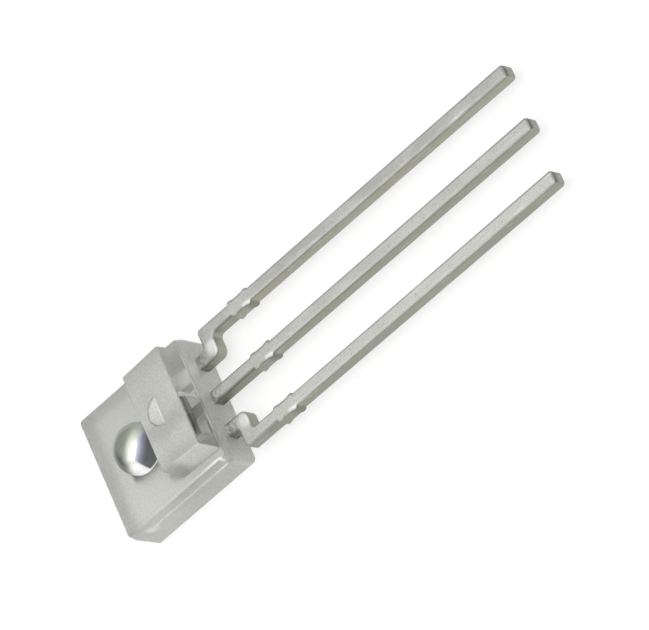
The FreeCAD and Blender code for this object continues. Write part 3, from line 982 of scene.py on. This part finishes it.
def epoxy_clearness(make, zones, mottle):
    """How much light each place of the package lets in."""
    crown = make.between(make.ease(zones.x, *CROWN_FADES), *CROWN_CLEARNESS)
    crown = make.math("ADD", crown, make.scale(mottle, *CROWN_MOTTLE))
    return cover(make.between, make.scale(mottle, *FACE_CLEARNESS), [
        (zones.crown, crown),
        (zones.side, make.between(make.ease(zones.y, *SIDE_FADES), *SIDE_CLEARNESS)),
        (zones.rim, CLEARNESS["rim"]),
        (zones.mark_floor, CLEARNESS["mark_floor"]),
        (zones.mark_slope, CLEARNESS["mark_slope"]),
        (zones.mark_lip, CLEARNESS["mark_lip"]),
        (zones.lines, make.between(make.ease(zones.y, *LINES_GAIN), *LINES_CLEARNESS)),
        (zones.graze, CLEARNESS["graze"]),
        (zones.polished, CLEARNESS["polished"]),
        (zones.glint, CLEARNESS["glint"]),
    ])


def epoxy_tone(make, zones):
    """Colour of each place of the package."""
    rising = make.ease(zones.y, *TONE_RISES)
    left = make.blend(rising, *LEFT_TONES)
    right = make.blend(rising, *RIGHT_TONES)
    return cover(make.blend, make.blend(make.ease(zones.x, *TONE_ACROSS), left, right), [
        (zones.crown, EPOXY_TONES["crown"]),
        # Painted shade on the ledge behind the block.
        (zones.ledge, EPOXY_TONES["ledge"]),
        # Painted highlight line along the ledge.
        (zones.seam, EPOXY_TONES["seam"]),
        # Painted shade on the strip along the front face's +X edge.
        (make.product(zones.band, EPOXY_COVERS["band"]), EPOXY_TONES["band"]),
        # Painted highlights along the +X side's front edge and parting line.
        (zones.lines, EPOXY_TONES["rubbed"]),
        (zones.rim, EPOXY_TONES["rim"]),
        # Painted highlight patch near the lens end of the +X side.
        (zones.graze, EPOXY_TONES["rubbed"]),
        # Painted shade on the mark's sloping wall.
        (zones.mark_slope, EPOXY_TONES["mark_slope"]),
        (make.product(zones.specks, EPOXY_COVERS["specks"]), EPOXY_TONES["specks"]),
        # Painted highlight along the mark's straight lip.
        (zones.mark_lip, EPOXY_TONES["mark_lip"]),
        (zones.glint, EPOXY_TONES["glint"]),
        (make.product(zones.bruise, EPOXY_COVERS["bruise"]), EPOXY_TONES["bruise"]),
        # Painted blueish glints on the lead-end face.
        (make.product(zones.end_marks, EPOXY_COVERS["end_marks"]), EPOXY_TONES["end_marks"]),
        (zones.polished, EPOXY_TONES["polished"]),
    ])


def epoxy_material():
    """Clear epoxy: polished lens and lead-side wall, matt flat faces, painted highlights and shade along the
    +X side.
    """
    make = Recipe("clear_epoxy")
    mottle = make.noise(MOTTLE_SIZE, detail=4, roughness=0.65)
    zones = package_zones(make)
    add_mark_zones(make, zones)
    add_rubbed_zones(make, zones, mottle)
    add_stain_zones(make, zones)
    wall_roughness = make.between(make.ease(zones.x, *WALL_DULLS), *WALL_ROUGHNESS)
    roughness = cover(make.between, make.scale(make.noise(CLOUD_SIZE), *MATT_ROUGHNESS), [
        (zones.crown, ROUGHNESS["crown"]),
        (zones.side, ROUGHNESS["side"]),
        (zones.lines, ROUGHNESS["lines"]),
        (zones.wall, wall_roughness),
        (zones.lens, ROUGHNESS["lens"]),
    ])
    grain = make.noise(GRAIN_SIZE, detail=4, roughness=0.65)
    make.bump(make.product(grain, make.math("SUBTRACT", 1, zones.polished)), GRAIN_DEPTH, EPOXY_GRAIN)
    return make.set(
        Base_Color=epoxy_tone(make, zones),
        Transmission_Weight=epoxy_clearness(make, zones, mottle),
        IOR=EPOXY_INDEX,
        Roughness=roughness,
    )


def tin_marks(make, x, y, upward, rolled):
    """Coats on the tin: painted highlights on the jogs and near the stubs' far ends, stained roots, and stub
    ends darkened partly as a dark burr and partly as painted shade.
    """
    # Painted highlight on the jogs.
    burnished = make.distance(make.math("ABSOLUTE", x), y, *BURNISHED_PLACE)
    burnished = make.product(make.ease(burnished, *BURNISHED_EDGE), rolled)
    # Painted highlight streak near each stub's far end, at the lead's right side.
    nearest_lead = make.math("ROUND", make.math("DIVIDE", x, LEAD_PITCH))
    off_middle = make.math("SUBTRACT", x, make.product(nearest_lead, LEAD_PITCH))
    nick = make.distance(make.product(off_middle, NICK_SLIMNESS), y, *NICK_PLACE)
    nick = make.product(make.ease(nick, *NICK_EDGE), make.ease(upward, *NICK_FACING))
    stained = make.ease(make.noise(STAIN_SIZE, detail=2), *STAIN_BORDER)
    stained = make.product(stained, make.ease(y, *STAIN_ALONG))
    # Stub ends darkened, partly a dark burr and partly painted shade.
    cut = make.product(make.math("SUBTRACT", 1, rolled), make.ease(y, *CUT_START), make.ease(y, *CUT_END))
    return [
        (make.product(burnished, TIN_COVERS["bright"]), TIN_TONES["bright"]),
        (make.product(nick, TIN_COVERS["bright"]), TIN_TONES["bright"]),
        (make.product(stained, TIN_COVERS["stain"]), TIN_TONES["stain"]),
        (make.product(cut, TIN_COVERS["cut"]), TIN_TONES["cut"]),
    ]


def bare_tone(make, x, rolled):
    """Colour of the bare alloy inside the epoxy: the pad in the middle and a finger on each side, with
    painted light and shade.
    """
    on_pad = make.math("LESS_THAN", make.math("ABSOLUTE", x), PAD_REACH)
    finger = make.blend(make.math("GREATER_THAN", x, 0), *FINGER_TONES)
    return make.blend(on_pad, finger, make.blend(rolled, *PAD_TONES))


def tin_material():
    """Soft tin plate: bright rolled faces, cut sides darker partly as bare metal and partly as painted
    shade, bare alloy inside the epoxy.
    """
    make = Recipe("tin_plate")
    x, y, z = make.place()
    _, facing_y, facing_z = make.facing()
    upward = make.math("ABSOLUTE", facing_z)
    rolled = make.ease(upward, *ROLLED_FACING)
    ends = make.ease(make.math("ABSOLUTE", facing_y), *END_FACING)
    speckle = make.noise(SPECKLE_SIZE, detail=4, roughness=0.6)
    streaks = make.noise(STREAK_SIZE, stretch=(1, 14, 1))
    clouds = make.noise(TIN_CLOUD_SIZE, stretch=(1, 2, 1))
    across = make.ease(x, *TIN_ACROSS)
    face = make.blend(across, *FACE_TONES)
    face = make.blend(make.ease(clouds, *TIN_CLOUD_BORDER), face, TIN_TONES["cloud"])
    # The tip darkens towards its upper edge as painted shade.
    tip_tone = make.blend(make.ease(z, *TIP_HEIGHTS), *TIP_TONES)
    # The sides' darker tone is partly bare sheared metal and partly painted shade.
    side = cover(make.blend, make.blend(across, *CUT_TONES), [
        (make.product(clouds, TIN_COVERS["cut_cloud"]), TIN_TONES["cut_cloud"]),
        (make.product(ends, make.math("GREATER_THAN", y, TIP_START)), tip_tone),
    ])
    # Painted shade over the highlight on the rounded edge.
    soft_edge = make.product(make.ease(upward, *EDGE_FROM_FACE), make.ease(upward, *EDGE_FROM_SIDE))
    tone = make.blend(rolled, side, face)
    tone = make.blend(make.product(soft_edge, TIN_COVERS["soft_edge"]), tone, TIN_TONES["soft_edge"])
    tone = make.blend(make.ease(speckle, *SPECKLE_BORDER), TIN_TONES["grain"], tone)
    streaked = make.product(make.ease(streaks, *STREAK_BORDER), TIN_COVERS["streak"])
    tone = make.blend(streaked, tone, TIN_TONES["streak"])
    tone = cover(make.blend, tone, tin_marks(make, x, y, upward, rolled))
    inside = make.math("LESS_THAN", y, BARE_END)
    tone = make.blend(inside, tone, bare_tone(make, x, rolled))
    make.bump(make.math("ADD", speckle, streaks), TIN_DEPTH, TIN_GRAIN)
    metal = make.between(inside, TIN_METAL, BARE_METAL)
    return make.set(Base_Color=tone, Metallic=metal, Roughness=make.scale(streaks, *TIN_ROUGHNESS))


def chip_circuits(make, x, y):
    """Fine tiles of the circuits, faded towards -X and dark along the lens side."""
    tiles = {
        "Vector": make.add("TexCoord", {}).outputs["Object"],
        "Scale": 1 / TILE_SIZE,
        "Color1": CHIP_TONES["tile"],
        "Color2": CHIP_TONES["other_tile"],
        "Mortar": CHIP_TONES["joint"],
    }
    shade = make.math("SUBTRACT", 1, make.ease(y, *SHADE_ALONG))
    shade = make.product(shade, make.ease(x, *SHADE_ACROSS))
    return cover(make.blend, make.add("TexBrick", tiles).outputs["Color"], [
        (make.ease(x, *CIRCUITS_FADE), CHIP_TONES["faded"]),
        (shade, CHIP_TONES["shade"]),
    ])


def chip_material():
    """Silicon: a dark sensing area with two flats, shaped as the dark reflection in the lens, a painted
    violet and pale sheen along its left flat, a bright patch round it that is painted light and glows, fine
    circuits.
    """
    make = Recipe("silicon")
    x, y, z = make.place()
    top = make.math("GREATER_THAN", z, CHIP_TOP - CHIP_SKIN)
    left_flat = make.beyond(x, y, *LEFT_FLAT)
    low_flat = make.beyond(x, y, *LOW_FLAT)
    round_rim = make.math("SUBTRACT", make.distance(x, y, 0, SENSING_Y), SENSING_RADIUS)
    past = make.math("MAXIMUM", make.math("MAXIMUM", left_flat, low_flat), round_rim)
    # Painted violet and pale sheen along the left flat.
    sensing = make.blend(make.ease(left_flat, *BLUE_EDGE), CHIP_TONES["dark"], CHIP_TONES["violet"])
    sensing = make.blend(make.ease(left_flat, *PALE_EDGE), sensing, CHIP_TONES["pale"])
    outside = make.ease(past, *SENSING_EDGE)
    lower = make.math("SUBTRACT", make.math("MAXIMUM", low_flat, round_rim), BRIGHT_DELAY)
    run = make.beyond(x, y, *LEFT_FLAT_RUN)
    gap = make.product(make.near(run, GAP_PLACE, *GAP_EDGE), make.ease(left_flat, *GAP_DEPTH))
    # Painted light: the bright patch round the sensing area.
    bright = make.product(
        make.ease(make.math("MAXIMUM", left_flat, lower), *BRIGHT_EDGE),
        make.ease(x, *BRIGHT_ACROSS),
        make.ease(y, *BRIGHT_ALONG),
        make.ease(run, *BRIGHT_RUN),
        make.scale(gap, *GAP_STRENGTHS),
    )
    field = make.blend(bright, chip_circuits(make, x, y), CHIP_TONES["bright"])
    tone = make.blend(top, CHIP_TONES["side"], make.blend(outside, sensing, field))
    make.set(Emission_Color=WHITE, Emission_Strength=make.product(outside, bright, top, CHIP_GLOW))
    metal = make.product(outside, top, CHIP_METAL)
    return make.set(Base_Color=tone, Metallic=metal, Roughness=CHIP_ROUGHNESS)


def adhesive_material():
    """Dull silver-filled adhesive with a grain."""
    make = Recipe("silver_adhesive")
    grain = make.noise(ADHESIVE_GRAIN_SIZE, detail=4)
    make.bump(grain, ADHESIVE_DEPTH, ADHESIVE_GRAIN)
    tone = make.blend(grain, *ADHESIVE_TONES)
    return make.set(Base_Color=tone, Metallic=ADHESIVE_METAL, Roughness=ADHESIVE_ROUGHNESS)


def gold_material():
    """Bright drawn gold."""
    make = Recipe("gold")
    draw_marks = make.noise(DRAW_MARK_SIZE, stretch=(1, 8, 1))
    return make.set(Base_Color=make.blend(draw_marks, *GOLD_TONES), Metallic=1.0, Roughness=GOLD_ROUGHNESS)


def dress(piece, material):
    """Give a piece one material."""
    piece.data.materials.clear()
    piece.data.materials.append(material)


# Put the pieces on the frame


def seat(piece, node, material):
    """Let a piece stand for a node: give it a material, hide the node and attach the piece to the root body.
    """
    dress(piece, material)
    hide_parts(node)
    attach(piece, "root")


seat(make_package(), "clear_package", epoxy_material())

tin = tin_material()
seat(lead_piece("left_lead", outer_lead_corners(-1), -LEAD_PITCH), "lead_left", tin)
seat(lead_piece("centre_lead", centre_lead_corners(), 0), "lead_centre", tin)
seat(lead_piece("right_lead", outer_lead_corners(1), LEAD_PITCH), "lead_right", tin)

die = slab_mesh(chip_high.x, chip_low.y, chip_high.y, chip_low.z, chip_high.z, 0, CHIP_EDGE)
seat(finished(die, "silicon_die"), "sensor_chip", chip_material())

bead = slab_mesh(
    chip_high.x + BEAD_REACH, chip_low.y - BEAD_REACH, chip_high.y + BEAD_REACH,
    LEAD_TOP, chip_low.z + BEAD_CLIMB, BEAD_SPREAD, BEAD_EDGE,
)
seat(finished(bead, "adhesive_bead"), "chip_adhesive", adhesive_material())

gold = gold_material()
headings = {"left": Vector((-1, 0, 0)), "centre": Vector((0, 1, 0)), "right": Vector((1, 0, 0))}
for side, heading in headings.items():
    node = f"bond_wire_{side}"
    seat(wire_piece(f"gold_wire_{side}", node, heading), node, gold)


# Floor, light and camera


def floor_material():
    """Pale floor that looks white to the camera, in gloss and through the clear body, and keeps a shadow."""
    make = Recipe("floor")
    path = make.add("LightPath", {})
    seen = make.math("MAXIMUM", path.outputs["Is Camera Ray"], path.outputs["Is Glossy Ray"])
    seen = make.math("MAXIMUM", seen, path.outputs["Is Transmission Ray"])
    tone = make.blend(seen, FLOOR_TONE, FLOOR_SEEN_TONE)
    glow = make.product(seen, FLOOR_SEEN_GLOW)
    make.set(Specular_IOR_Level=0.0)
    return make.set(Base_Color=tone, Roughness=1.0, Emission_Color=WHITE, Emission_Strength=glow)


def make_floor():
    """Wide flat floor just under the part."""
    half = FLOOR_HALF
    data = bpy.data.meshes.new("floor")
    corners = [(-half, -half, 0), (half, -half, 0), (half, half, 0), (-half, half, 0)]
    data.from_pydata(corners, [], [(0, 1, 2, 3)])
    floor = bpy.data.objects.new("floor", data)
    bpy.context.scene.collection.objects.link(floor)
    floor.location.z = -FLOOR_DROP
    dress(floor, floor_material())


def add_lamp(name, direction, distance, size, power):
    """Rectangular area lamp that shines on the package from a direction."""
    lamp = bpy.data.lights.new(name, "AREA")
    lamp.shape = "RECTANGLE"
    lamp.size, lamp.size_y = size
    lamp.energy = power
    holder = bpy.data.objects.new(name, lamp)
    bpy.context.scene.collection.objects.link(holder)
    way = Vector(direction).normalized()
    holder.location = way * distance
    holder.rotation_mode = "QUATERNION"
    holder.rotation_quaternion = way.to_track_quat("Z", "Y")


def make_world():
    """Pale surroundings, darker towards the horizon and below it, white where the camera sees them."""
    world = bpy.data.worlds.new("surroundings")
    bpy.context.scene.world = world
    world.use_nodes = True
    nodes = world.node_tree.nodes
    links = world.node_tree.links
    background = nodes["Background"]
    coordinates = nodes.new("ShaderNodeTexCoord")
    split = nodes.new("ShaderNodeSeparateXYZ")
    links.new(coordinates.outputs["Generated"], split.inputs[0])
    rise = nodes.new("ShaderNodeMapRange")
    rise.interpolation_type = "SMOOTHSTEP"
    links.new(split.outputs["Z"], rise.inputs["Value"])
    rise.inputs["From Min"].default_value = 0.0
    rise.inputs["From Max"].default_value = ZENITH_START
    rise.inputs["To Min"].default_value = HORIZON_LEVEL
    rise.inputs["To Max"].default_value = ZENITH_LEVEL
    path = nodes.new("ShaderNodeLightPath")
    strength = nodes.new("ShaderNodeMath")
    strength.operation = "MAXIMUM"
    links.new(rise.outputs[0], strength.inputs[0])
    links.new(path.outputs["Is Camera Ray"], strength.inputs[1])
    links.new(strength.outputs[0], background.inputs["Strength"])
    background.inputs["Color"].default_value = WHITE


def make_camera():
    """Camera at the photograph's angle."""
    back = Vector((
        math.sin(CAMERA_AZIMUTH) * math.cos(CAMERA_ELEVATION),
        -math.cos(CAMERA_AZIMUTH) * math.cos(CAMERA_ELEVATION),
        math.sin(CAMERA_ELEVATION),
    ))
    right = Vector((0, 0, 1)).cross(back).normalized()
    up = back.cross(right)
    turned_right = right * math.cos(CAMERA_ROLL) + up * math.sin(CAMERA_ROLL)
    turned_up = back.cross(turned_right)
    camera = bpy.data.cameras.new("camera")
    camera.lens = LENS_MILLIMETRES
    camera.clip_start = CLIP_NEAR
    camera.clip_end = CLIP_FAR
    holder = bpy.data.objects.new("camera", camera)
    bpy.context.scene.collection.objects.link(holder)
    pose = Matrix((turned_right, turned_up, back)).transposed().to_4x4()
    pose.translation = AIM + back * CAMERA_DISTANCE
    holder.matrix_world = pose
    bpy.context.scene.camera = holder


make_floor()
make_world()
add_lamp("top_box", LAMP_DIRECTION, LAMP_DISTANCE, LAMP_SIZE, LAMP_POWER)
make_camera()
bpy.context.scene.view_settings.view_transform = "Standard"
